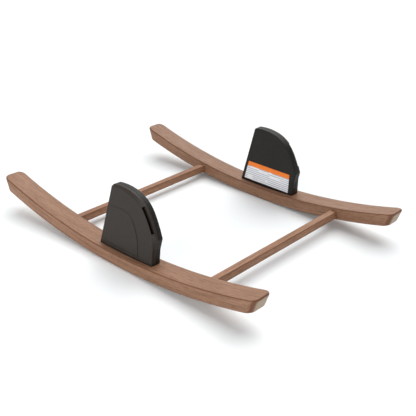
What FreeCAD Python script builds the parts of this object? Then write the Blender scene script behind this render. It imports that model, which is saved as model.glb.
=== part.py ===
import FreeCAD, Part
import math
import os

# Rocking stand for an infant carrier, in millimetres.
# +X runs along the two wooden rockers, +Y across them and +Z up. The origin is on the floor,
# midway between the rockers and midway along them. "left" is the -Y side, "right" is the +Y side,
# "front" is the +X end and "rear" is the -X end. While the pieces are made, x is measured from the
# lowest point of the rockers, which is a little in front of their middle; main() moves them last.

V = FreeCAD.Vector
X_AXIS, Y_AXIS, Z_AXIS = V(1, 0, 0), V(0, 1, 0), V(0, 0, 1)

# Rockers: curved walnut rails
RAIL_SPACING = 410.0        # centre to centre, across the stand
RAIL_WIDTH = 45.2
RAIL_THICK = 24.8
RAIL_REAR_X = -347.0        # ends of the top face, before they are rounded
RAIL_FRONT_X = 339.0
ROCK_RADIUS = 1236.0        # of the underside that rolls on the floor
END_UNDERCUT = 10.0         # how far the end face leans in towards its foot
END_CORNER_ROUND = 13.0     # corners of the ends, seen from above
RAIL_TOP_ROUND = 3.0
RAIL_FOOT_ROUND = 3.0

# Cross bars: square walnut bars with turned tenons
BAR_SIZE = 16.0
BAR_EDGE_ROUND = 3.0
BAR_X = {"rear": -160.0, "front": 205.0}
BAR_ABOVE_FOOT = 2.8        # underside of a bar above the rocker's underside
TENON_DIAMETER = 11.0
TENON_LENGTH = 26.0
TENON_CHAMFER = 1.0
MORTISE_SPARE = 0.5         # air left past the end of a tenon
GLUE_GAP = 0.05
LOCK_SCREW_INSET = 15.0     # from the rocker's inner face
LOCK_SHANK = 3.5
LOCK_HEAD = 7.0
LOCK_HEAD_HEIGHT = 2.2
LOCK_HEAD_RECESS = 1.0
LOCK_BITE = 3.5             # past the middle of the tenon
LOCK_CROSS = (4.4, 0.9, 0.9)    # drive recess: length, width, depth

# Adaptor fins: hollow two-piece mouldings that the carrier's side sockets drop over
FIN_LEAN = 2.0              # degrees, top towards the middle of the stand
FIN_THICK = 20.5
FIN_WALL = 2.6
FIN_INNER_ROUND = 2.2       # rim of the inner face
FIN_OUTER_ROUND = 1.8       # rim of the outer face
BACK_FOOT_X = -51.4         # back edge where it meets the rocker's crown level
BACK_TOP = (-13.8, 130.0)   # x and height of the corner between back edge and curved edge
CURVE_HEADING = 11.3        # degrees above horizontal where the curved edge starts
CURVE_RUNS = ((121.6, 24.1), (67.1, 47.9), (224.7, 11.6))   # radius, degrees turned
FRONT_BEND = (93.4, 33.0)   # front edge, which flares from here up to the nose
FRONT_FOOT_X = 91.3
BELOW_CROWN = -5.0          # the outline starts here, and is then cut to the rocker's curve
TOP_CORNER_ROUND = 4.6
NOSE_ROUND = 4.6
SHOULDER_V = 5.9            # where the outer shoulder starts, outwards from the middle plane
CAVITY_SHOULDER_V = 4.6
CAVITY_OUTER_INSET = 2.0
SHOULDER_TOP_HEIGHT = 127.4 # outer face: the same outline, drawn in along the curved edge
SHOULDER_HEADING = 11.1
SHOULDER_RUNS = ((100.7, 37.0), (50.5, 29.6), (186.9, 16.8))
SHOULDER_BEND = (91.9, 30.0)
SEAM_WIDTH = 0.5
SEAM_DEPTH = 0.5
FIT_GAP = 0.15

# Raised quarter panel on each fin's outer face
PANEL_HEIGHT = 1.0
PANEL_SLOPE = 2.6
PANEL_BACK_INSET = 7.0
PANEL_BACK_TOP_HEIGHT = 88.0
PANEL_HEADING = 12.0
PANEL_RUNS = ((150.0, 12.0), (36.0, 68.0), (170.0, 9.0))
PANEL_FOOT_HEIGHT = 8.0
PANEL_FRONT_LEAN = 0.02     # of the front edge, forwards for each mm down

# Latch slot in the curved edge
SLOT_TOP = (67.9, 112.4)
SLOT_FOOT = (93.8, 68.7)
SLOT_LOW_V = 4.2            # sides of the slot, outwards from the fin's middle plane
SLOT_HIGH_V = 9.4
SLOT_DEPTH = 12.0
SLOT_END_ROUND = 1.2
POCKET_WALL = 1.4
SLOT_PROUD = 20.0           # how far the slot's cutter stands out of the curved edge

# Inside each fin
FOOT_TOP = 24.0
FOOT_SCREW_X = (-17.0, 58.0)
INSERT_DIAMETER = 8.0
INSERT_LENGTH = 12.0
INSERT_SINK = 0.6
INSERT_GROOVE = (1.2, 0.6)  # height, depth
PLATE_THICK = 3.0
PLATE_INSET = 5.6
PLATE_SEAT = 14.0           # bottom edge of the plate, in the foot's groove
PLATE_WINDOWS = ((0.0, 88.0, 11.0), (34.0, 84.0, 13.0))     # x, height, radius
PIN_DIAMETER = 4.0
PIN_X = (2.0, 39.0)
PIN_HEIGHT = 19.0
BOSS_DIAMETER = 7.0
INNER_BOSS_DIAMETER = 9.0
BOSS_HOLE = 2.5
SHELL_SCREW_AT = ((-20.0, 36.0), (24.0, 40.0), (68.0, 36.0))
PEG_AT = (22.0, 114.0)
PEG_DIAMETER = 3.4
PEG_LENGTH = 4.0
SHELL_SCREW_BITE = 5.5      # of the thread in the outer shell's boss
SHELL_SCREW_SHANK = 2.9
SHELL_SCREW_HEAD = 5.6
SHELL_SCREW_HEAD_HEIGHT = 1.9
SHELL_SCREW_HEAD_ROUND = 0.7
SHELL_SCREW_CROSS = (3.2, 0.8, 1.0)     # drive recess: length, width, depth
SHELL_SCREW_RECESS = 4.0

# Screws that hold a fin on its rocker
MOUNT_SCREW = 6.0
MOUNT_HOLE = 6.6
MOUNT_HEAD = 10.5
MOUNT_HEAD_HEIGHT = 3.3
MOUNT_HEAD_ROUND = 1.8
MOUNT_TIP_CHAMFER = 0.8
MOUNT_TIP_SHORT = 1.0       # of the insert's far end
MOUNT_COUNTERBORE = 14.5
MOUNT_RECESS = 8.5
MOUNT_RUN_OUT = 3.0         # of the counterbore's cutter below the rocker, past its curve
HEX_KEY = 4.0
HEX_DEPTH = 2.0
WASHER_OUTER = 13.0
WASHER_THICK = 1.4
WASHER_CLEARANCE = 0.2

# Blank label on the right fin's inner face
LABEL_THICK = 0.3
LABEL_FOOT = 6.5
LABEL_TOP = 50.0
LABEL_BACK_INSET = 8.5
LABEL_FRONT_INSET = 11.6
LABEL_CORNER = 1.2

MIDDLE_X = (RAIL_REAR_X + RAIL_FRONT_X) / 2.0
TOP_RADIUS = ROCK_RADIUS - RAIL_THICK
RAIL_Y = RAIL_SPACING / 2.0
BACK_SLOPE = (BACK_TOP[0] - BACK_FOOT_X) / BACK_TOP[1]
FAR = 400.0                 # reaches past everything
OVERCUT = 1.0               # how far a cutting tool runs out past a face
WELD = 0.5                  # how far bosses and pegs run into the wall that carries them
TINY = 0.01                 # for comparing lengths and places
SIDES = ("left", "right")


def rise(radius, x):
    """Height of an upward-curving arc of this radius above its lowest point."""
    return radius - math.sqrt(radius * radius - x * x)


def line(a, b):
    return Part.LineSegment(a, b).toShape()


def polygon_face(points):
    return Part.Face(Part.makePolygon(points + [points[0]]))


def cylinder(radius, length, at, axis):
    return Part.makeCylinder(radius, length, at, axis)


def edges_where(shape, test):
    return [edge for edge in shape.Edges if test(edge)]


def runs_along_y(edge):
    box = edge.BoundBox
    return box.YLength > 1.0 and box.XLength < TINY and box.ZLength < TINY


def arc_chain(start, heading, runs, y=0.0):
    """Tangent arcs that turn clockwise in an XZ plane, and the point where they end."""
    x, z = start
    angle = math.radians(heading)
    edges = []
    for radius, turn_degrees in runs:
        turn = math.radians(turn_degrees)
        centre_x = x + radius * math.sin(angle)
        centre_z = z - radius * math.cos(angle)
        points = []
        for share in (0.0, 0.5, 1.0):
            swept = angle - turn * share
            points.append(V(centre_x - radius * math.sin(swept), y, centre_z + radius * math.cos(swept)))
        edges.append(Part.Arc(*points).toShape())
        x, z = points[2].x, points[2].z
        angle -= turn
    return edges, (x, z)


# ---- wooden frame --------------------------------------------------------------------------------

def rail_blank():
    """One rocker at y = 0 with its ends shaped and every edge rounded."""
    y = -RAIL_WIDTH / 2.0
    corners = []
    for top_x, lean in ((RAIL_REAR_X, END_UNDERCUT), (RAIL_FRONT_X, -END_UNDERCUT)):
        foot_x = top_x + lean
        foot = V(foot_x, y, rise(ROCK_RADIUS, foot_x))
        corners.append((foot, V(top_x, y, RAIL_THICK + rise(TOP_RADIUS, top_x))))
    (rear_foot, rear_top), (front_foot, front_top) = corners
    foot_arc = Part.Arc(rear_foot, V(0, y, 0), front_foot).toShape()
    top_arc = Part.Arc(front_top, V(0, y, RAIL_THICK), rear_top).toShape()
    front_end = line(front_foot, front_top)
    rear_end = line(rear_top, rear_foot)
    profile = Part.Face(Part.Wire([foot_arc, front_end, top_arc, rear_end]))
    rail = profile.extrude(V(0, RAIL_WIDTH, 0))

    def rises(edge):
        box = edge.BoundBox
        return box.YLength < TINY and box.ZLength > RAIL_THICK / 2.0 and box.XLength < RAIL_THICK

    rail = rail.makeFillet(END_CORNER_ROUND, edges_where(rail, rises))

    def goes_round(edge, foot):
        """Part of the closed line of edges round the top face, or round the underside."""
        box = edge.BoundBox
        if edge.Length > RAIL_FRONT_X:
            return foot == (box.ZMin < 1.0)
        at_height = rise(ROCK_RADIUS, edge.CenterOfMass.x) + RAIL_THICK / 2.0
        return box.ZLength < RAIL_THICK / 2.0 and foot == (edge.CenterOfMass.z < at_height)

    rail = rail.makeFillet(RAIL_TOP_ROUND, edges_where(rail, lambda edge: goes_round(edge, False)))
    return rail.makeFillet(RAIL_FOOT_ROUND, edges_where(rail, lambda edge: goes_round(edge, True)))


def bar_foot_z(x):
    return rise(ROCK_RADIUS, x) + BAR_ABOVE_FOOT


def crossbar(x):
    """A bar between the rockers' inner faces, with a tenon glued into each rocker."""
    half = RAIL_Y - RAIL_WIDTH / 2.0
    z = bar_foot_z(x)
    bar = Part.makeBox(BAR_SIZE, 2.0 * half, BAR_SIZE, V(x - BAR_SIZE / 2.0, -half, z))
    bar = bar.makeFillet(BAR_EDGE_ROUND, edges_where(bar, runs_along_y))
    reach = half + TENON_LENGTH
    tenon = cylinder(TENON_DIAMETER / 2.0, 2.0 * reach, V(x, -reach, z + BAR_SIZE / 2.0), Y_AXIS)
    tenon = tenon.makeChamfer(TENON_CHAMFER, edges_where(tenon, lambda edge: edge.BoundBox.YLength < TINY))
    return bar.fuse(tenon).removeSplitter()


def mortise(x, side_sign):
    inner = RAIL_Y - RAIL_WIDTH / 2.0
    at = V(x, side_sign * (inner - OVERCUT), bar_foot_z(x) + BAR_SIZE / 2.0)
    length = OVERCUT + TENON_LENGTH + MORTISE_SPARE
    return cylinder(TENON_DIAMETER / 2.0 + GLUE_GAP, length, at, V(0, side_sign, 0))


def lock_screw_place(x, side_sign):
    y = side_sign * (RAIL_Y - RAIL_WIDTH / 2.0 + LOCK_SCREW_INSET)
    return V(x, y, rise(ROCK_RADIUS, x) + LOCK_HEAD_RECESS)


def lock_screw_length():
    return BAR_ABOVE_FOOT + BAR_SIZE / 2.0 + LOCK_BITE - LOCK_HEAD_RECESS


def lock_screw(x, side_sign):
    """Countersunk screw that goes up through the rocker into a tenon."""
    at = lock_screw_place(x, side_sign)
    head = Part.makeCone(LOCK_HEAD / 2.0, LOCK_SHANK / 2.0, LOCK_HEAD_HEIGHT, at, Z_AXIS)
    shank = cylinder(LOCK_SHANK / 2.0, lock_screw_length(), at, Z_AXIS)
    cross_length, cross_width, cross_depth = LOCK_CROSS
    corner = at - V(cross_length / 2.0, cross_width / 2.0, 0)
    cross = Part.makeBox(cross_length, cross_width, cross_depth, corner)
    cross = cross.fuse(cross.rotated(at, Z_AXIS, 90))
    return head.fuse(shank).cut(cross).removeSplitter()


def lock_screw_hole(x, side_sign):
    """The space a lock screw takes up in the rocker and the tenon."""
    at = lock_screw_place(x, side_sign)
    radius = LOCK_HEAD / 2.0 + GLUE_GAP
    mouth_depth = LOCK_HEAD_RECESS + OVERCUT
    mouth = cylinder(radius, mouth_depth, at - V(0, 0, mouth_depth), Z_AXIS)
    seat = Part.makeCone(radius, LOCK_SHANK / 2.0 + GLUE_GAP, LOCK_HEAD_HEIGHT, at, Z_AXIS)
    shank = cylinder(LOCK_SHANK / 2.0 + GLUE_GAP, lock_screw_length() + GLUE_GAP, at, Z_AXIS)
    return mouth.fuse([seat, shank])


# ---- one fin, in its own frame -------------------------------------------------------------------
# The fin's frame has x along the rocker, y outwards from the fin's middle plane (v in names) and
# z up the fin from the rocker's crown. place_fin() then leans it and puts it on its rocker.

FIN_PLACE = FreeCAD.Placement(V(0, RAIL_Y, RAIL_THICK), FreeCAD.Rotation(X_AXIS, FIN_LEAN))


def place_fin(shape, side):
    placed = shape.copy()
    placed.Placement = FIN_PLACE.multiply(placed.Placement)
    if side == "left":
        placed = placed.mirror(V(0, 0, 0), Y_AXIS)
    return placed


def above_rail():
    """Everything above the rocker's hollow top face, seen from the fin's frame."""
    space = cylinder(TOP_RADIUS, 2.0 * FAR, V(0, -FAR, RAIL_THICK + TOP_RADIUS), Y_AXIS)
    space.Placement = FIN_PLACE.inverse().multiply(space.Placement)
    return space


def back_x(height):
    return BACK_FOOT_X + BACK_SLOPE * height


def front_x(height):
    return FRONT_FOOT_X + (FRONT_BEND[0] - FRONT_FOOT_X) * height / FRONT_BEND[1]


def fin_outline(start, heading, runs, bend):
    """Side view of a fin as a closed wire, from below the rocker's crown, and its two corners."""
    back_foot = V(back_x(BELOW_CROWN), 0, BELOW_CROWN)
    front_foot = V(front_x(BELOW_CROWN), 0, BELOW_CROWN)
    curve, nose = arc_chain(start, heading, runs)
    bend_point = V(bend[0], 0, bend[1])
    edges = [line(back_foot, V(start[0], 0, start[1]))] + curve
    edges.append(line(V(nose[0], 0, nose[1]), bend_point))
    edges.append(line(bend_point, front_foot))
    edges.append(line(front_foot, back_foot))
    return Part.Wire(edges), ((start, TOP_CORNER_ROUND), (nose, NOSE_ROUND))


def fin_face(drawn_in, inset, v):
    """Side face of a fin at v, inset all round. drawn_in gives the outer face's outline."""
    if drawn_in:
        start = (back_x(SHOULDER_TOP_HEIGHT), SHOULDER_TOP_HEIGHT)
        wire, corners = fin_outline(start, SHOULDER_HEADING, SHOULDER_RUNS, SHOULDER_BEND)
    else:
        wire, corners = fin_outline(BACK_TOP, CURVE_HEADING, CURVE_RUNS, FRONT_BEND)
    solid = Part.Face(wire).extrude(V(0, FIN_THICK, 0))
    for (x, z), radius in corners:
        solid = solid.makeFillet(radius, edges_where(
            solid, lambda edge: runs_along_y(edge) and abs(edge.CenterOfMass.x - x) < 10.0 * TINY
            and abs(edge.CenterOfMass.z - z) < 10.0 * TINY))
    side = [face for face in solid.Faces if abs(face.CenterOfMass.y) < TINY][0]
    if inset > 0:
        side = side.makeOffset2D(-inset)
    side = side.copy()
    side.translate(V(0, v, 0))
    return side


def fin_slab(inset, low_v, high_v):
    """A flat slab with the fin's rounded outline, inset all round."""
    return fin_face(False, inset, low_v).extrude(V(0, high_v - low_v, 0))


def shouldered_slab(low_v, shoulder_v, high_v, inset, outer_inset):
    """A slab whose outer part slopes in to the outer face's outline."""
    wires = [fin_face(False, inset, shoulder_v).OuterWire, fin_face(True, outer_inset, high_v).OuterWire]
    slope = Part.makeLoft(wires, True, True)
    return fin_slab(inset, low_v, shoulder_v).fuse(slope).removeSplitter()


def fin_body():
    """The fin's outer form: sloped shoulder, rounded rims, seam groove, foot cut to the rocker."""
    half = FIN_THICK / 2.0
    body = shouldered_slab(-half, SHOULDER_V, half, 0.0, 0.0)
    for v, radius in ((-half, FIN_INNER_ROUND), (half, FIN_OUTER_ROUND)):
        body = body.makeFillet(radius, edges_where(
            body, lambda edge: edge.BoundBox.YLength < TINY and abs(edge.CenterOfMass.y - v) < TINY
            and edge.BoundBox.ZMax > BELOW_CROWN + TINY))
    body = body.common(above_rail())
    seam = fin_slab(0.0, -SEAM_WIDTH / 2.0, SEAM_WIDTH / 2.0)
    seam = seam.cut(fin_slab(SEAM_DEPTH, -SEAM_WIDTH, SEAM_WIDTH))
    return body.cut(seam)


def half_space(sign):
    """Everything on one side of the fin's middle plane."""
    low_y = 0.0 if sign > 0 else -FAR
    return Part.makeBox(2.0 * FAR, FAR, 2.0 * FAR, V(-FAR, low_y, -FAR))


def across(radius, low_v, high_v, at):
    """A cylinder through the fin's thickness."""
    return cylinder(radius, high_v - low_v, V(at[0], low_v, at[1]), Y_AXIS)


def panel_wire(shrink, v):
    """Outline of the raised panel, drawn in by shrink, at a distance v from the middle plane."""
    inset = PANEL_BACK_INSET + shrink
    start = (back_x(PANEL_BACK_TOP_HEIGHT) + inset, PANEL_BACK_TOP_HEIGHT - shrink)
    runs = [(radius - shrink, turn) for radius, turn in PANEL_RUNS]
    curve, (end_x, end_z) = arc_chain(start, PANEL_HEADING, runs, v)
    foot_z = PANEL_FOOT_HEIGHT + shrink
    back_foot = V(back_x(foot_z) + inset, v, foot_z)
    front_foot = V(end_x + (end_z - foot_z) * PANEL_FRONT_LEAN, v, foot_z)
    edges = curve + [line(V(end_x, v, end_z), front_foot), line(front_foot, back_foot)]
    edges.append(line(back_foot, V(start[0], v, start[1])))
    return Part.Wire(edges)


def raised_panel():
    face_v = FIN_THICK / 2.0
    wires = [panel_wire(0.0, face_v), panel_wire(PANEL_SLOPE, face_v + PANEL_HEIGHT)]
    return Part.makeLoft(wires, True, True)


def slot_block(margin, depth, proud):
    """A block square to the curved edge, as wide and long as the latch slot plus a margin."""
    along = V(SLOT_FOOT[0] - SLOT_TOP[0], 0, SLOT_FOOT[1] - SLOT_TOP[1])
    length = along.Length + 2.0 * margin
    width = SLOT_HIGH_V - SLOT_LOW_V + 2.0 * margin
    block = Part.makeBox(length, width, depth + proud, V(-margin, SLOT_LOW_V - margin, -depth))
    if margin == 0.0:
        block = block.makeFillet(SLOT_END_ROUND, edges_where(
            block, lambda edge: edge.BoundBox.ZLength > 1.0))
    tilt = math.degrees(math.atan2(-along.z, along.x))
    block.Placement = FreeCAD.Placement(V(SLOT_TOP[0], 0, SLOT_TOP[1]), FreeCAD.Rotation(Y_AXIS, tilt))
    return block


def outer_shell(body, cavity):
    """Outer half of the fin, with the panel, the latch pocket, screw bosses and a locating peg."""
    wall_v = FIN_THICK / 2.0 - FIN_WALL
    shell = body.cut(cavity).common(half_space(1))
    pocket = slot_block(POCKET_WALL, SLOT_DEPTH + POCKET_WALL, SLOT_PROUD).common(body)
    bosses = [across(BOSS_DIAMETER / 2.0, 0.0, wall_v + WELD, at) for at in SHELL_SCREW_AT + (PEG_AT,)]
    peg = across(PEG_DIAMETER / 2.0, -PEG_LENGTH, WELD, PEG_AT)
    shell = shell.fuse([pocket, raised_panel(), peg] + bosses)
    shell = shell.cut(slot_block(0.0, SLOT_DEPTH, SLOT_PROUD))
    pilots = [across(BOSS_HOLE / 2.0, -OVERCUT, wall_v - WELD, at) for at in SHELL_SCREW_AT]
    return shell.cut(pilots[0].fuse(pilots[1:])).removeSplitter()


def inner_shell(body, cavity):
    """Inner half of the fin, with through holes for the shell screws and a socket for the peg."""
    wall_v = -(FIN_THICK / 2.0 - FIN_WALL)
    shell = body.cut(cavity).common(half_space(-1))
    boss_radius = INNER_BOSS_DIAMETER / 2.0
    bosses = [across(boss_radius, wall_v - WELD, 0.0, at) for at in SHELL_SCREW_AT + (PEG_AT,)]
    shell = shell.fuse(bosses)
    face_v = -FIN_THICK / 2.0
    holes = []
    for at in SHELL_SCREW_AT:
        holes.append(across(SHELL_SCREW_SHANK / 2.0 + FIT_GAP, face_v - OVERCUT, OVERCUT, at))
        seat_v = face_v + SHELL_SCREW_RECESS
        holes.append(across(SHELL_SCREW_HEAD / 2.0 + FIT_GAP, face_v - OVERCUT, seat_v, at))
    holes.append(across(PEG_DIAMETER / 2.0 + FIT_GAP, -PEG_LENGTH - OVERCUT, OVERCUT, PEG_AT))
    return shell.cut(holes[0].fuse(holes[1:])).removeSplitter()


def shell_screw(at):
    """Pan-head screw from the inner face, through the inner shell into the outer shell's boss."""
    seat_v = -FIN_THICK / 2.0 + SHELL_SCREW_RECESS
    head = across(SHELL_SCREW_HEAD / 2.0, seat_v - SHELL_SCREW_HEAD_HEIGHT, seat_v, at)
    head = head.makeFillet(SHELL_SCREW_HEAD_ROUND, edges_where(
        head, lambda edge: abs(edge.CenterOfMass.y - seat_v + SHELL_SCREW_HEAD_HEIGHT) < TINY
        and edge.BoundBox.YLength < TINY))
    shank = across(SHELL_SCREW_SHANK / 2.0, seat_v, 0.0, at)
    thread = across(BOSS_HOLE / 2.0, -WELD, SHELL_SCREW_BITE, at)
    arm_length, arm_width, arm_depth = SHELL_SCREW_CROSS
    corner = V(at[0] - arm_length / 2.0, seat_v - SHELL_SCREW_HEAD_HEIGHT, at[1] - arm_width / 2.0)
    cross = Part.makeBox(arm_length, arm_depth, arm_width, corner)
    cross = cross.fuse(cross.rotated(V(at[0], 0, at[1]), Y_AXIS, 90))
    return head.fuse([shank, thread]).cut(cross).removeSplitter()


def insert_place(x):
    return V(x, 0.0, rise(TOP_RADIUS, x) + INSERT_SINK)


def fin_foot():
    """Block inside the fin's base that takes the mounting screws and grips the core plate."""
    half = FIN_THICK / 2.0 - FIN_WALL - FIT_GAP
    inset = FIN_WALL + FIT_GAP
    foot = shouldered_slab(-half, CAVITY_SHOULDER_V, half, inset, inset)
    foot = foot.common(Part.makeBox(2.0 * FAR, 2.0 * FAR, 2.0 * FAR, V(-FAR, -FAR, FOOT_TOP - 2.0 * FAR)))
    foot = foot.common(above_rail())
    groove_half = PLATE_THICK / 2.0 + GLUE_GAP
    groove = fin_slab(PLATE_INSET - GLUE_GAP, -groove_half, groove_half)
    groove = groove.common(Part.makeBox(2.0 * FAR, 2.0 * FAR, FAR, V(-FAR, -FAR, PLATE_SEAT)))
    holes = [across(PIN_DIAMETER / 2.0, -FIN_THICK, FIN_THICK, (x, PIN_HEIGHT)) for x in PIN_X]
    below_insert = INSERT_SINK + OVERCUT
    for x in FOOT_SCREW_X:
        start = insert_place(x) - V(0, 0, below_insert)
        holes.append(cylinder(INSERT_DIAMETER / 2.0, INSERT_LENGTH + below_insert, start, Z_AXIS))
    return foot.cut(groove.fuse(holes)).removeSplitter()


def core_plate():
    """Steel stiffening plate that stands in the foot's groove."""
    half = PLATE_THICK / 2.0
    plate = fin_slab(PLATE_INSET, -half, half)
    plate = plate.common(Part.makeBox(2.0 * FAR, 2.0 * FAR, FAR, V(-FAR, -FAR, PLATE_SEAT)))
    boss_clear = INNER_BOSS_DIAMETER / 2.0 + 2.0 * FIT_GAP
    round_holes = [(x, PIN_HEIGHT, PIN_DIAMETER / 2.0) for x in PIN_X]
    round_holes += [at + (boss_clear,) for at in SHELL_SCREW_AT + (PEG_AT,)]
    round_holes += PLATE_WINDOWS
    reach = half + OVERCUT
    holes = [across(radius, -reach, reach, (x, z)) for x, z, radius in round_holes]
    return plate.cut(holes[0].fuse(holes[1:]))


def core_pins():
    half = FIN_THICK / 2.0 - FIN_WALL - FIT_GAP
    return [across(PIN_DIAMETER / 2.0, -half, half, (x, PIN_HEIGHT)) for x in PIN_X]


def threaded_insert(x):
    """Knurled brass insert pressed into the foot from below."""
    at = insert_place(x)
    body = cylinder(INSERT_DIAMETER / 2.0, INSERT_LENGTH, at, Z_AXIS)
    bore = cylinder(MOUNT_SCREW / 2.0, INSERT_LENGTH, at, Z_AXIS)
    groove_height, groove_depth = INSERT_GROOVE
    middle = at + V(0, 0, (INSERT_LENGTH - groove_height) / 2.0)
    ring = cylinder(INSERT_DIAMETER / 2.0, groove_height, middle, Z_AXIS)
    ring = ring.cut(cylinder(INSERT_DIAMETER / 2.0 - groove_depth, groove_height, middle, Z_AXIS))
    return body.cut(bore.fuse(ring))


def mount_seat(x):
    """Bottom of the washer, at the end of the counterbore in the rocker's underside."""
    return V(x, 0.0, rise(ROCK_RADIUS, x) - RAIL_THICK + MOUNT_RECESS)


def mount_washer(x):
    at = mount_seat(x) - V(0, 0, WASHER_THICK)
    washer = cylinder(WASHER_OUTER / 2.0, WASHER_THICK, at, Z_AXIS)
    return washer.cut(cylinder(MOUNT_SCREW / 2.0 + WASHER_CLEARANCE, WASHER_THICK, at, Z_AXIS))


def mount_screw(x):
    """Button-head machine screw that rises through the rocker into the threaded insert."""
    seat = mount_seat(x) - V(0, 0, WASHER_THICK)
    head = cylinder(MOUNT_HEAD / 2.0, MOUNT_HEAD_HEIGHT, seat - V(0, 0, MOUNT_HEAD_HEIGHT), Z_AXIS)
    head_z = seat.z - MOUNT_HEAD_HEIGHT
    head = head.makeFillet(MOUNT_HEAD_ROUND, edges_where(
        head, lambda edge: abs(edge.CenterOfMass.z - head_z) < TINY and edge.BoundBox.ZLength < TINY))
    tip = insert_place(x).z + INSERT_LENGTH - MOUNT_TIP_SHORT
    shank = cylinder(MOUNT_SCREW / 2.0, tip - seat.z, seat, Z_AXIS)
    shank = shank.makeChamfer(MOUNT_TIP_CHAMFER, edges_where(
        shank, lambda edge: abs(edge.CenterOfMass.z - tip) < TINY and edge.BoundBox.ZLength < TINY))
    corners = []
    for k in range(6):
        angle = math.radians(60.0 * k)
        reach = HEX_KEY / math.sqrt(3.0)
        corners.append(V(x + reach * math.cos(angle), reach * math.sin(angle), head_z))
    socket = polygon_face(corners).extrude(V(0, 0, HEX_DEPTH))
    return head.fuse(shank).cut(socket).removeSplitter()


def mount_hole(x):
    """Counterbored hole through the rocker for one mounting screw."""
    seat = mount_seat(x)
    mouth_depth = MOUNT_RECESS + MOUNT_RUN_OUT
    mouth = cylinder(MOUNT_COUNTERBORE / 2.0, mouth_depth, seat - V(0, 0, mouth_depth), Z_AXIS)
    return mouth.fuse(cylinder(MOUNT_HOLE / 2.0, RAIL_THICK, seat, Z_AXIS))


def blank_label():
    """Thin plain sticker, its back edge parallel to the fin's back edge."""
    v = -FIN_THICK / 2.0
    corners = []
    for height in (LABEL_FOOT, LABEL_TOP):
        corners.append((V(back_x(height) + LABEL_BACK_INSET, v, height),
                        V(front_x(height) - LABEL_FRONT_INSET, v, height)))
    (back_foot, front_foot), (back_top, front_top) = corners
    label = polygon_face([back_foot, front_foot, front_top, back_top]).extrude(V(0, -LABEL_THICK, 0))
    return label.makeFillet(LABEL_CORNER, edges_where(
        label, lambda edge: edge.BoundBox.YLength > LABEL_THICK / 2.0))


# ---- assembly ------------------------------------------------------------------------------------

def frame_parts():
    parts = {}
    cuts = {"left": [], "right": []}
    lock_screws = []
    lock_holes = []
    for end, x in BAR_X.items():
        parts["crossbar_" + end] = crossbar(x)
        for side, sign in (("left", -1), ("right", 1)):
            lock_screws.append(lock_screw(x, sign))
            hole = lock_screw_hole(x, sign)
            lock_holes.append(hole)
            cuts[side] += [mortise(x, sign), hole]
    for end in BAR_X:
        parts["crossbar_" + end] = parts["crossbar_" + end].cut(lock_holes)
    for side, sign in (("left", -1), ("right", 1)):
        cuts[side] += [place_fin(mount_hole(x), side) for x in FOOT_SCREW_X]
        rail = rail_blank()
        rail.translate(V(0, sign * RAIL_Y, 0))
        parts["rocker_" + side] = rail.cut(cuts[side])
    parts["crossbar_lock_screws"] = Part.makeCompound(lock_screws)
    return parts


def fin_parts():
    """Every piece of one fin, in the fin's own frame."""
    body = fin_body()
    half = FIN_THICK / 2.0 - FIN_WALL
    cavity = shouldered_slab(-half, CAVITY_SHOULDER_V, half, FIN_WALL, CAVITY_OUTER_INSET)
    return {
        "outer_shell": outer_shell(body, cavity),
        "inner_shell": inner_shell(body, cavity),
        "foot_block": fin_foot(),
        "core_plate": core_plate(),
        "core_pins": Part.makeCompound(core_pins()),
        "shell_screws": Part.makeCompound([shell_screw(at) for at in SHELL_SCREW_AT]),
        "threaded_inserts": Part.makeCompound([threaded_insert(x) for x in FOOT_SCREW_X]),
        "mount_screws": Part.makeCompound([mount_screw(x) for x in FOOT_SCREW_X]),
        "mount_washers": Part.makeCompound([mount_washer(x) for x in FOOT_SCREW_X]),
    }


def main():
    os.makedirs("parts", exist_ok=True)
    parts = frame_parts()
    for name, shape in fin_parts().items():
        for side in SIDES:
            parts["fin_" + side + "_" + name] = place_fin(shape, side)
    parts["fin_right_blank_label"] = place_fin(blank_label(), "right")
    for name, shape in parts.items():
        shape.translate(V(-MIDDLE_X, 0, 0))
        shape.exportStep("parts/" + name + ".step")
        print(name, "solids", len(shape.Solids), "valid", shape.isValid(), "mm3", round(shape.Volume))


main()
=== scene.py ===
import bpy
import math
from mathutils import Matrix, Vector

# The look of the rocking stand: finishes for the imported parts, a pale floor, soft light, a camera.
# Lengths are metres. +X runs along the rockers, +Y across them, +Z up.

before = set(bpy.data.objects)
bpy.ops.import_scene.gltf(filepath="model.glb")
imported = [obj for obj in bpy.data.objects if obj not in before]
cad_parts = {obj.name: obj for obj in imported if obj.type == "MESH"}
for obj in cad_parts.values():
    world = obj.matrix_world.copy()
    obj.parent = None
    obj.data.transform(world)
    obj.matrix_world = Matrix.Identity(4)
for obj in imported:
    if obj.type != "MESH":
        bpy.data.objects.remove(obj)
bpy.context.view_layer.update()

# Rockers, which the wood grain and the shading at the fins' feet follow
ROCK_RADIUS = 1.236             # of the underside
LOWEST_X = 0.004                # where the underside meets the floor, straight below the arc's centre
RAIL_THICK = 0.0248
END_UNDERCUT = 0.0100           # how far an end face leans in towards its foot
END_FACE_HEIGHT = 0.0287
END_LEAN = math.atan2(END_UNDERCUT, END_FACE_HEIGHT)

# Label: heights are above the rocker's top at its lowest point
LABEL_BAND_HEIGHT = 0.0388      # where the coloured band starts
LABEL_BAND_BLUR = 0.0004
LABEL_RULE_PITCH = 0.0046
LABEL_DASHES_PER_METRE = 34.0
LABEL_ROW_SHIFT = 5.7           # between the noise that breaks one rule and the next

# Camera: the direction it stands in is given as turned from -Y towards +X, and raised from the floor
CAMERA_AT = (0.9523, -1.0012, 0.7223)
CAMERA_AZIMUTH = 42.60
CAMERA_ELEVATION = 26.42
CAMERA_ROLL = 0.60
CAMERA_LENS_MM = 65.53
CAMERA_SENSOR_MM = 36.0

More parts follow.
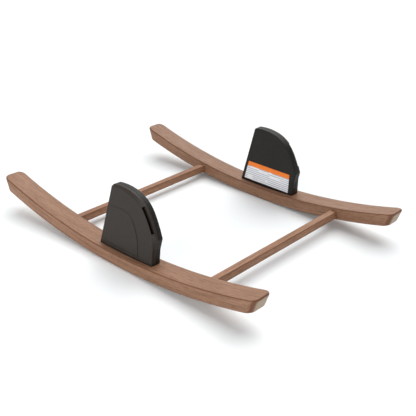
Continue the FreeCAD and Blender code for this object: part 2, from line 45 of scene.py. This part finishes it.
# Studio. A sun has a direction it shines from, a strength and a width in degrees, which softens it.
FLOOR_SIZE = 200.0
SUNS = {
    "rear_key": ((-0.20, 0.70, 1.70), 2.40, 62.0),
    "rear_low": ((-0.55, 1.00, 0.60), 0.90, 60.0),
    "right_fill": ((1.00, -0.40, 0.42), 0.55, 80.0),
}
SOFTBOX_AT = (-0.05, -1.60, 0.75)
SOFTBOX_AIM = (0.0, -0.10, 0.03)
SOFTBOX_WATTS = 14.0
SOFTBOX_SIZE = (1.6, 0.8)
SKY_COLOUR = (0.94, 0.97, 1.0, 1.0)
SKY_STRENGTH = 0.22

USUAL_RANGE = (0.3, 0.7)        # nearly all of a noise pattern's values lie in here


# ---- building materials --------------------------------------------------------------------------

class Finish:
    """One material, built node by node. An input is a socket, a number or a tuple."""

    def __init__(self, name):
        self.material = bpy.data.materials.new(name)
        self.material.use_nodes = True
        self.nodes = self.material.node_tree.nodes
        self.links = self.material.node_tree.links
        self.nodes.clear()

    def put(self, socket, value):
        if isinstance(value, bpy.types.NodeSocket):
            self.links.new(value, socket)
        elif socket.type == "RGBA":
            socket.default_value = value + (1.0,)
        else:
            socket.default_value = value

    def node(self, kind, values, **settings):
        made = self.nodes.new(kind)
        for key, value in settings.items():
            setattr(made, key, value)
        for key, value in values.items():
            self.put(made.inputs[key], value)
        return made

    def calculate(self, operation, *values):
        return self.node("ShaderNodeMath", dict(enumerate(values)), operation=operation).outputs[0]

    def add(self, a, b):
        return self.calculate("ADD", a, b)

    def subtract(self, a, b):
        return self.calculate("SUBTRACT", a, b)

    def multiply(self, a, b):
        return self.calculate("MULTIPLY", a, b)

    def absolute(self, a):
        return self.calculate("ABSOLUTE", a)

    def distance(self, a, b):
        return self.calculate("SQRT", self.add(self.multiply(a, a), self.multiply(b, b)))

    def vector(self, x, y, z):
        return self.node("ShaderNodeCombineXYZ", {"X": x, "Y": y, "Z": z}).outputs[0]

    def noise(self, place, repeats, detail, roughness, distortion=0.0):
        """A cloudy pattern. repeats is per metre: one number, or one for each direction of place."""
        if isinstance(repeats, tuple):
            stretch = {0: place, 1: repeats}
            place = self.node("ShaderNodeVectorMath", stretch, operation="MULTIPLY").outputs[0]
            repeats = 1.0
        return self.node("ShaderNodeTexNoise", {
            "Vector": place, "Scale": repeats, "Detail": detail,
            "Roughness": roughness, "Distortion": distortion}).outputs["Fac"]

    def spread(self, value, low, high, to_low=0.0, to_high=1.0, smooth=False):
        """value with the range low to high moved to the range to_low to to_high, and cut off there."""
        values = {"Value": value, "From Min": low, "From Max": high, "To Min": to_low, "To Max": to_high}
        interpolation = "SMOOTHSTEP" if smooth else "LINEAR"
        made = self.node("ShaderNodeMapRange", values, clamp=True, interpolation_type=interpolation)
        return made.outputs[0]

    def blend(self, share, a, b):
        """Colour a, with that share of colour b."""
        made = self.node("ShaderNodeMix", {"Factor": share}, data_type="RGBA")
        colours = [socket for socket in made.inputs if socket.type == "RGBA"]
        self.put(colours[0], a)
        self.put(colours[1], b)
        return next(socket for socket in made.outputs if socket.type == "RGBA")

    def tint(self, colour, toward, pattern, start, full, share=1.0):
        """colour, with none of toward where pattern is at start and that share where it is at full."""
        return self.blend(self.spread(pattern, start, full, 0.0, share), colour, toward)

    def painted_shade_share(self, reach, share, in_the_open=0.75, shut_in=0.12):
        """Painted shade: how far things within reach shut a place in, from 0 in the open to share in a
        crevice.
        """
        openness = self.node("ShaderNodeAmbientOcclusion", {"Distance": reach}, samples=8).outputs["AO"]
        return self.spread(openness, in_the_open, shut_in, 0.0, share)

    def bump(self, height, distance, strength, under=None):
        values = {"Height": height, "Distance": distance, "Strength": strength}
        if under is not None:
            values["Normal"] = under
        return self.node("ShaderNodeBump", values).outputs[0]

    def surface(self, colour, roughness, normal, **constants):
        shader = self.node("ShaderNodeBsdfPrincipled", {
            "Base Color": colour, "Roughness": roughness, "Normal": normal})
        for key, value in constants.items():
            shader.inputs[key.replace("_", " ")].default_value = value
        out = self.nodes.new("ShaderNodeOutputMaterial")
        self.links.new(shader.outputs[0], out.inputs["Surface"])
        return self.material


def place_and_normal(f):
    """Position and normal on the part, each as three sockets."""
    source = f.nodes.new("ShaderNodeTexCoord")
    parts = []
    for output in ("Object", "Normal"):
        split = f.nodes.new("ShaderNodeSeparateXYZ")
        f.links.new(source.outputs[output], split.inputs[0])
        parts.append(tuple(split.outputs))
    return parts


def rocker_frame(f):
    """Place along a rocker's arc, across it and up from its underside, and how a face looks each way."""
    (x, y, z), (nx, ny, nz) = place_and_normal(f)
    x = f.subtract(x, LOWEST_X)
    drop = f.subtract(ROCK_RADIUS, z)
    angle = f.calculate("ARCTAN2", x, drop)
    along = f.multiply(angle, ROCK_RADIUS)
    up = f.subtract(ROCK_RADIUS, f.distance(x, drop))
    # An end face looks outwards and, by END_LEAN, down.
    outwards = f.multiply(f.absolute(nx), math.cos(END_LEAN))
    facing_end = f.subtract(outwards, f.multiply(nz, math.sin(END_LEAN)))
    upwards = f.multiply(nz, f.calculate("COSINE", angle))
    facing_up = f.subtract(upwards, f.multiply(nx, f.calculate("SINE", angle)))
    return (along, y, up), (facing_end, ny, facing_up)


def bar_frame(f):
    """Place along a cross bar, across it and up, and how a face looks each way."""
    (x, y, z), (nx, ny, nz) = place_and_normal(f)
    return (y, x, z), (ny, nx, nz)


# ---- finishes ------------------------------------------------------------------------------------

def walnut(name, follow, light, middle, dark, edge_and_shade, end, pith, edge_share):
    """Oiled walnut. The growth rings go round pith, a place across and up from the piece's own frame."""
    f = Finish(name)
    (along, across, up), (facing_end, facing_side, facing_up) = follow(f)
    grain = f.vector(along, across, up)

    broad = f.noise(grain, repeats=(5.0, 42.0, 42.0), detail=3.0, roughness=0.55)
    wander = f.noise(grain, repeats=(3.0, 16.0, 16.0), detail=2.0, roughness=0.5)
    streak = f.noise(grain, repeats=(16.0, 480.0, 480.0), detail=5.0, roughness=0.66, distortion=0.15)
    fleck = f.noise(grain, repeats=(75.0, 620.0, 620.0), detail=3.0, roughness=0.65)
    fine = f.noise(grain, repeats=(60.0, 1900.0, 1900.0), detail=3.0, roughness=0.6)
    pore = f.noise(grain, repeats=(150.0, 3400.0, 3400.0), detail=2.0, roughness=0.5)
    dots = f.noise(grain, repeats=(90.0, 1100.0, 1100.0), detail=3.0, roughness=0.6)
    wear = f.noise(grain, repeats=38.0, detail=4.0, roughness=0.6)
    oiled = f.noise(grain, repeats=(9.0, 60.0, 60.0), detail=3.0, roughness=0.5)

    ring_turns_per_metre = 1500.0
    ring_wander_turns = 26.0
    from_pith = f.distance(f.subtract(across, pith[0]), f.subtract(up, pith[1]))
    ring = f.add(f.multiply(from_pith, ring_turns_per_metre), f.multiply(wander, ring_wander_turns))
    ring = f.spread(f.calculate("SINE", ring), -0.2, 1.0, smooth=True)
    pore = f.spread(pore, 0.60, 0.70)

    colour = f.tint(middle, light, broad, *USUAL_RANGE)
    colour = f.blend(f.multiply(ring, 0.20), colour, dark)
    for pattern, toward, start, full, share in (
            (streak, dark, 0.46, 0.74, 0.62),
            (streak, light, 0.46, 0.28, 0.40),
            (fine, dark, 0.50, 0.72, 0.34),
            (fleck, dark, 0.50, 0.66, 0.42),
            (fleck, light, 0.48, 0.34, 0.35)):
        colour = f.tint(colour, toward, pattern, start, full, share)
    colour = f.blend(f.multiply(pore, 0.42), colour, dark)

    # End grain shows the cut pores as dots. Its paler, greyer tone is painted light.
    end_colour = f.tint(end, middle, dots, 0.45, 0.70, 0.45)
    end_share = f.spread(f.absolute(facing_end), 0.86, 0.985, smooth=True)
    colour = f.blend(end_share, colour, end_colour)

    # The rounded arrises are where no flat face's direction comes near. They are darker, and crevices get
    # painted shade.
    flattest = f.calculate("MAXIMUM", f.absolute(facing_side), f.absolute(facing_up))
    flattest = f.calculate("MAXIMUM", flattest, f.absolute(facing_end))
    arris = f.spread(flattest, 0.985, 0.80, 0.0, edge_share, smooth=True)
    colour = f.blend(arris, colour, edge_and_shade)
    colour = f.blend(f.painted_shade_share(reach=0.006, share=0.75), colour, edge_and_shade)

    # The underside is slightly greyed where it rolls on the floor.
    floor_reach = 0.0012
    rolled_tone = (0.16, 0.12, 0.10)
    rolled = f.multiply(f.spread(up, floor_reach, 0.0), f.spread(wear, 0.42, 0.68, 0.0, 0.5))
    colour = f.blend(rolled, colour, rolled_tone)

    roughness = f.add(f.spread(streak, *USUAL_RANGE, 0.46, 0.62), f.spread(oiled, *USUAL_RANGE, -0.05, 0.05))
    normal = f.bump(streak, distance=0.00025, strength=0.35)
    normal = f.bump(f.subtract(1.0, pore), distance=0.00018, strength=0.45, under=normal)
    return f.surface(colour, roughness, normal, Specular_IOR_Level=0.35)


def moulded(name, base, lighter, rough, grain_strength):
    """Black moulded plastic: fine spark-eroded texture, rubbed arrises, a little dust, painted shade in
    crevices.
    """
    f = Finish(name)
    (along, across, up), _ = rocker_frame(f)
    place = f.vector(along, across, up)
    skin = f.noise(place, repeats=1500.0, detail=2.0, roughness=0.55)
    peel = f.noise(place, repeats=170.0, detail=3.0, roughness=0.5)
    cloud = f.noise(place, repeats=26.0, detail=4.0, roughness=0.55)
    dust = f.noise(place, repeats=620.0, detail=1.0, roughness=0.4)
    pointiness = f.nodes.new("ShaderNodeNewGeometry").outputs["Pointiness"]
    rubbed_tone = tuple(2.0 * channel for channel in lighter)
    dust_tone = (0.22, 0.21, 0.20)
    painted_shade_tone = (0.0015, 0.0014, 0.0013)

    colour = f.tint(base, lighter, cloud, *USUAL_RANGE)
    colour = f.tint(colour, lighter, skin, 0.40, 0.72, 0.30)
    rubbed = f.multiply(f.spread(pointiness, 0.515, 0.56), f.spread(peel, 0.40, 0.66, 0.1, 0.5))
    colour = f.blend(rubbed, colour, rubbed_tone)
    colour = f.tint(colour, dust_tone, dust, 0.72, 0.80, 0.25)
    # Crevices get painted shade.
    colour = f.blend(f.painted_shade_share(reach=0.010, share=0.95), colour, painted_shade_tone)
    # Painted shade: the foot darkens over its last 3 mm above the rocker.
    above_rocker = f.subtract(up, RAIL_THICK)
    colour = f.tint(colour, painted_shade_tone, above_rocker, 0.0034, 0.0006, 0.95)

    roughness = f.spread(cloud, *USUAL_RANGE, rough - 0.04, rough + 0.05)
    roughness = f.add(roughness, f.spread(peel, *USUAL_RANGE, -0.03, 0.03))
    normal = f.bump(peel, distance=0.00006, strength=0.5)
    normal = f.bump(skin, distance=0.00008, strength=grain_strength, under=normal)
    return f.surface(colour, roughness, normal, Specular_IOR_Level=0.26)


def metal(name, bright, dull, rough, turned):
    """Plated or bare metal with tool marks, tarnish and small scratches."""
    f = Finish(name)
    (x, y, z), _ = place_and_normal(f)
    place = f.vector(x, y, z)
    mark_repeats = (900.0, 900.0, 4200.0 if turned else 900.0)
    cloud = f.noise(place, repeats=140.0, detail=4.0, roughness=0.6)
    marks = f.noise(place, repeats=mark_repeats, detail=2.0, roughness=0.5)
    scratch = f.noise(place, repeats=(240.0, 3800.0, 3800.0), detail=2.0, roughness=0.5)
    colour = f.tint(bright, dull, cloud, 0.35, 0.68)
    colour = f.tint(colour, bright, scratch, 0.64, 0.72, 0.4)
    roughness = f.spread(cloud, *USUAL_RANGE, rough - 0.07, rough + 0.10)
    roughness = f.add(roughness, f.spread(marks, *USUAL_RANGE, -0.04, 0.04))
    return f.surface(colour, roughness, f.bump(marks, distance=0.00003, strength=0.4), Metallic=1.0)


def nylon(name, base, lighter, fibre_tone):
    """Dark nylon with glass fibres that show as fine pale lines."""
    f = Finish(name)
    (x, y, z), _ = place_and_normal(f)
    place = f.vector(x, y, z)
    cloud = f.noise(place, repeats=60.0, detail=4.0, roughness=0.55)
    fibre = f.noise(place, repeats=(260.0, 1900.0, 900.0), detail=3.0, roughness=0.6)
    colour = f.tint(base, lighter, cloud, *USUAL_RANGE)
    colour = f.tint(colour, fibre_tone, fibre, 0.55, 0.75, 0.4)
    roughness = f.spread(fibre, *USUAL_RANGE, 0.50, 0.64)
    return f.surface(colour, roughness, f.bump(fibre, distance=0.00005, strength=0.5))


def blank_label(name):
    """A sticker with a coloured band over a pale field of faint broken rules, with no lettering."""
    f = Finish(name)
    (x, y, z), _ = place_and_normal(f)
    height = f.subtract(z, RAIL_THICK)
    place = f.vector(x, y, z)
    fibre = f.noise(place, repeats=900.0, detail=3.0, roughness=0.6)
    cloud = f.noise(place, repeats=45.0, detail=3.0, roughness=0.5)

    field = f.tint((0.84, 0.85, 0.90), (0.90, 0.91, 0.94), cloud, *USUAL_RANGE)
    field = f.tint(field, (0.58, 0.59, 0.64), fibre, 0.50, 0.70, 0.25)
    row = f.calculate("DIVIDE", height, LABEL_RULE_PITCH)
    rules = f.spread(f.calculate("SINE", f.multiply(row, 2.0 * math.pi)), 0.0, 0.6)
    shift = f.multiply(f.calculate("FLOOR", row), LABEL_ROW_SHIFT)
    dashes = f.vector(f.multiply(x, LABEL_DASHES_PER_METRE), shift, 0.0)
    dashes = f.noise(dashes, repeats=1.0, detail=1.0, roughness=0.5)
    rules = f.multiply(rules, f.spread(dashes, 0.40, 0.46, 0.15, 1.0))
    field = f.blend(f.multiply(rules, 0.55), field, (0.13, 0.14, 0.18))

    band = f.tint((0.90, 0.20, 0.018), (0.95, 0.24, 0.028), cloud, *USUAL_RANGE)
    band = f.tint(band, (0.75, 0.15, 0.02), fibre, 0.5, 0.7, 0.2)
    in_band = f.spread(height, LABEL_BAND_HEIGHT, LABEL_BAND_HEIGHT + LABEL_BAND_BLUR)
    roughness = f.spread(fibre, *USUAL_RANGE, 0.42, 0.55)
    normal = f.bump(fibre, distance=0.00003, strength=0.4)
    return f.surface(f.blend(in_band, field, band), roughness, normal, Specular_IOR_Level=0.3)


def floor_paper(name):
    """Plain pale backdrop paper."""
    f = Finish(name)
    (x, y, z), _ = place_and_normal(f)
    place = f.vector(x, y, z)
    cloud = f.noise(place, repeats=3.0, detail=4.0, roughness=0.5)
    paper = f.noise(place, repeats=420.0, detail=3.0, roughness=0.6)
    colour = f.tint((0.890, 0.912, 0.918), (0.905, 0.927, 0.933), cloud, *USUAL_RANGE)
    roughness = f.spread(paper, *USUAL_RANGE, 0.72, 0.84)
    normal = f.bump(paper, distance=0.00008, strength=0.15)
    return f.surface(colour, roughness, normal, Specular_IOR_Level=0.15)


WALNUT_ROCKER = walnut(
    "walnut_rocker", rocker_frame, pith=(0.31, -0.13), edge_share=0.80,
    light=(0.352, 0.190, 0.111), middle=(0.275, 0.136, 0.074), dark=(0.108, 0.044, 0.021),
    edge_and_shade=(0.125, 0.041, 0.016), end=(0.37, 0.278, 0.195))
# The bars' walnut is a little lighter and more orange than the rockers', as painted light.
WALNUT_BAR = walnut(
    "walnut_bar", bar_frame, pith=(0.06, -0.09), edge_share=0.75,
    light=(0.375, 0.190, 0.102), middle=(0.295, 0.132, 0.063), dark=(0.090, 0.033, 0.014),
    edge_and_shade=(0.105, 0.036, 0.015), end=(0.30, 0.21, 0.14))
OUTER_PLASTIC = moulded(
    "outer_plastic", base=(0.019, 0.0140, 0.0105), lighter=(0.028, 0.0215, 0.017),
    rough=0.56, grain_strength=0.40)
# The inner shells' plastic is smoother than the outer one, and its darker colour is painted shade.
SHADED_INNER_PLASTIC = moulded(
    "shaded_inner_plastic", base=(0.0065, 0.0055, 0.0040), lighter=(0.0105, 0.009, 0.007),
    rough=0.50, grain_strength=0.30)
NYLON = nylon(
    "glass_filled_nylon", base=(0.055, 0.054, 0.052), lighter=(0.095, 0.093, 0.090),
    fibre_tone=(0.16, 0.16, 0.155))
PLATE_STEEL = metal(
    "plate_steel", bright=(0.52, 0.52, 0.51), dull=(0.34, 0.33, 0.32), rough=0.40, turned=False)
ZINC_STEEL = metal(
    "zinc_steel", bright=(0.72, 0.73, 0.74), dull=(0.50, 0.51, 0.53), rough=0.32, turned=True)
BLACK_STEEL = metal(
    "black_steel", bright=(0.10, 0.10, 0.10), dull=(0.05, 0.05, 0.052), rough=0.42, turned=True)
BRASS = metal(
    "brass", bright=(0.78, 0.57, 0.24), dull=(0.52, 0.35, 0.14), rough=0.34, turned=True)
LABEL = blank_label("blank_label")

# The longest of these names that is in a part's name gives its finish.
FINISH_OF = {
    "rocker": WALNUT_ROCKER, "crossbar": WALNUT_BAR, "crossbar_lock_screws": ZINC_STEEL,
    "outer_shell": OUTER_PLASTIC, "inner_shell": SHADED_INNER_PLASTIC, "foot_block": NYLON,
    "core_plate": PLATE_STEEL, "core_pins": ZINC_STEEL, "shell_screws": BLACK_STEEL,
    "threaded_inserts": BRASS, "mount_screws": BLACK_STEEL, "mount_washers": ZINC_STEEL,
    "blank_label": LABEL,
}

for name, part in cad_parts.items():
    key = max((word for word in FINISH_OF if word in name), key=len)
    part.data.materials.clear()
    part.data.materials.append(FINISH_OF[key])


# ---- floor, light and camera ---------------------------------------------------------------------

def add_light(name, kind, at, aim, strength, **settings):
    data = bpy.data.lights.new(name, kind)
    data.energy = strength
    for key, value in settings.items():
        setattr(data, key, value)
    light = bpy.data.objects.new(name, data)
    light.location = at
    light.rotation_euler = (Vector(aim) - Vector(at)).to_track_quat("-Z", "Y").to_euler()
    bpy.context.scene.collection.objects.link(light)


def add_camera():
    azimuth = math.radians(CAMERA_AZIMUTH)
    elevation = math.radians(CAMERA_ELEVATION)
    roll = math.radians(CAMERA_ROLL)
    level = math.cos(elevation)
    back = Vector((math.sin(azimuth) * level, -math.cos(azimuth) * level, math.sin(elevation)))
    level_right = (-back).cross(Vector((0, 0, 1))).normalized()
    level_up = level_right.cross(-back)
    right = math.cos(roll) * level_right + math.sin(roll) * level_up
    up = -math.sin(roll) * level_right + math.cos(roll) * level_up
    data = bpy.data.cameras.new("camera")
    data.lens = CAMERA_LENS_MM
    data.sensor_width = CAMERA_SENSOR_MM
    camera = bpy.data.objects.new("camera", data)
    camera.matrix_world = Matrix.Translation(CAMERA_AT) @ Matrix((right, up, back)).transposed().to_4x4()
    bpy.context.scene.collection.objects.link(camera)
    bpy.context.scene.camera = camera


bpy.ops.mesh.primitive_plane_add(size=FLOOR_SIZE)
floor = bpy.context.object
floor.name = "studio_floor"
floor.data.materials.append(floor_paper("studio_floor"))

for name, (direction, strength, degrees) in SUNS.items():
    add_light(name, "SUN", direction, (0, 0, 0), strength, angle=math.radians(degrees))
add_light("front_softbox", "AREA", SOFTBOX_AT, SOFTBOX_AIM, SOFTBOX_WATTS,
          shape="RECTANGLE", size=SOFTBOX_SIZE[0], size_y=SOFTBOX_SIZE[1])

world = bpy.data.worlds.new("studio")
world.use_nodes = True
sky = world.node_tree.nodes["Background"]
sky.inputs["Color"].default_value = SKY_COLOUR
sky.inputs["Strength"].default_value = SKY_STRENGTH
bpy.context.scene.world = world

add_camera()
bpy.context.scene.view_settings.view_transform = "Standard"
